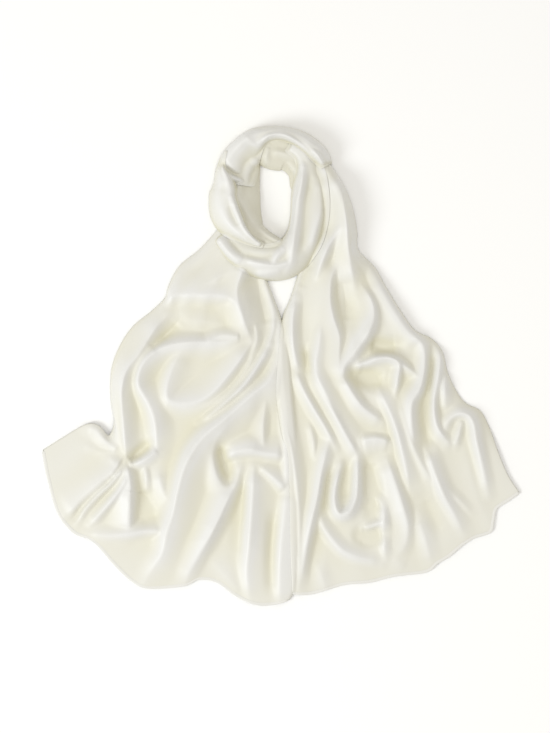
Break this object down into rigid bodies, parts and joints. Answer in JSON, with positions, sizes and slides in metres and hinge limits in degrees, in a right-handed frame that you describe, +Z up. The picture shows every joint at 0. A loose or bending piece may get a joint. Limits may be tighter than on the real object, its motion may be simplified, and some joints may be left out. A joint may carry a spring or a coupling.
{
  "type": "evening stole",
  "caption": "Ivory satin evening stole wound once round into a neck loop, laid flat with both ends fanned out in soft folds.",
  "frame": {"origin": "middle of the ground that the laid-out stole covers, on the surface it lies on", "axes": "+Z up out of the surface, +Y from the two ends towards the neck loop, +X towards the right end as seen from above"},
  "size_m": [0.717, 0.719, 0.0429],
  "materials": {
    "satin_hidden": "warm ivory satin, folded layers inside the loop",
    "satin_loop_inner": "warm ivory satin, soft sheen, in the loop's shade",
    "satin_loop": "warm ivory satin with a soft broad sheen",
    "satin_ends": "warm ivory satin with a soft broad sheen, fine weave",
    "satin_hem": "narrow rolled hem, stitched in ivory thread"
  },
  "bodies": {
    "root": {"folded_core": "satin_hidden", "nape_drop": "satin_loop_inner", "nape_under": "satin_loop_inner", "front_cowl": "satin_loop", "nape_over": "satin_loop", "left_turn": "satin_loop", "left_end": "satin_ends", "right_end": "satin_ends", "left_end_hem": "satin_hem", "right_end_hem": "satin_hem"}
  },
  "joints": []
}
